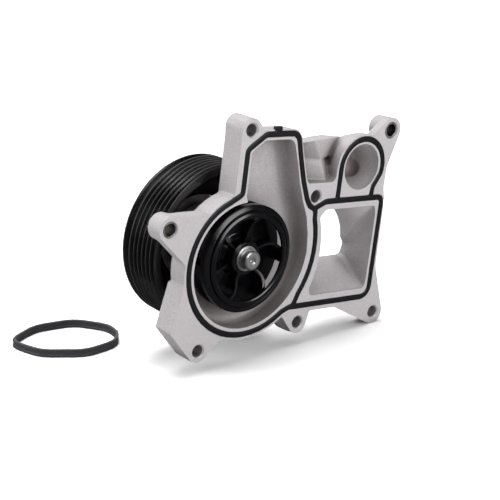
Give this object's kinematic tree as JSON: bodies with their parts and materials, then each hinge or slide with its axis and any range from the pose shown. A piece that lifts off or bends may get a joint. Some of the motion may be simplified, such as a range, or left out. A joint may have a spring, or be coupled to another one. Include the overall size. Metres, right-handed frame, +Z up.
{
  "type": "water pump",
  "caption": "Belt-driven engine coolant pump: open volute housing with a coolant duct, shrouded impeller, shaft bearing and a ribbed pulley.",
  "frame": {"origin": "middle of the shaft's flat drive end, on the pump axis; the mounting face is 47.5 mm in front of it", "axes": "+Y along the pump axis from the impeller to the pulley, +Z up, +X from the volute towards the coolant duct; the mounting face looks along -Y"},
  "size_m": [0.172, 0.0544, 0.1318],
  "materials": {
    "cast_aluminium": "die-cast, fine sand texture, machined sealing faces",
    "black_rubber": "moulded, satin",
    "plain_steel": "turned",
    "bearing_steel": "ground and polished",
    "spring_steel": "drawn wire",
    "carbon": "lapped carbon",
    "ceramic": "lapped ceramic",
    "cage_plastic": "moulded polyamide",
    "impeller_plastic": "moulded, glossy black",
    "pulley_black": "glossy black"
  },
  "bodies": {
    "pump_body": {"housing": "cast_aluminium", "face_seal": "black_rubber", "duct_gasket": "black_rubber", "dowel_sleeve_left": "plain_steel", "dowel_sleeve_right": "plain_steel", "bearing_outer_race": "bearing_steel", "bearing_seal_front": "black_rubber", "bearing_seal_rear": "black_rubber", "seal_cup": "plain_steel", "seal_bellows": "black_rubber", "seal_spring": "spring_steel", "carbon_ring": "carbon"},
    "rotor": {"shaft": "plain_steel", "impeller": "impeller_plastic", "impeller_shroud": "impeller_plastic", "impeller_insert": "plain_steel", "seat_ring": "ceramic", "seat_boot": "black_rubber", "slinger": "black_rubber", "drive_hub": "plain_steel", "pulley": "pulley_black"},
    "ball_row": {"ball_cage": "cage_plastic", "bearing_ball_1": "bearing_steel", "bearing_ball_2": "bearing_steel", "bearing_ball_3": "bearing_steel", "bearing_ball_4": "bearing_steel", "bearing_ball_5": "bearing_steel", "bearing_ball_6": "bearing_steel", "bearing_ball_7": "bearing_steel", "bearing_ball_8": "bearing_steel"},
    "roller_row": {"roller_cage": "cage_plastic", "bearing_roller_1": "bearing_steel", "bearing_roller_2": "bearing_steel", "bearing_roller_3": "bearing_steel", "bearing_roller_4": "bearing_steel", "bearing_roller_5": "bearing_steel", "bearing_roller_6": "bearing_steel", "bearing_roller_7": "bearing_steel", "bearing_roller_8": "bearing_steel"}
  },
  "joints": [
    {"name": "shaft_spin", "type": "hinge", "parent": "pump_body", "child": "rotor", "pos_m": [0, 0, 0], "axis": [0, 1, 0], "continuous": true},
    {"name": "ball_row_spin", "type": "hinge", "parent": "pump_body", "child": "ball_row", "pos_m": [0, 0, 0], "axis": [0, 1, 0], "continuous": true},
    {"name": "roller_row_spin", "type": "hinge", "parent": "pump_body", "child": "roller_row", "pos_m": [0, 0, 0], "axis": [0, 1, 0], "continuous": true}
  ],
  "couplings": [
    {"joint": "ball_row_spin", "follows": "shaft_spin", "ratio": 0.3737},
    {"joint": "roller_row_spin", "follows": "shaft_spin", "ratio": 0.3883}
  ]
}
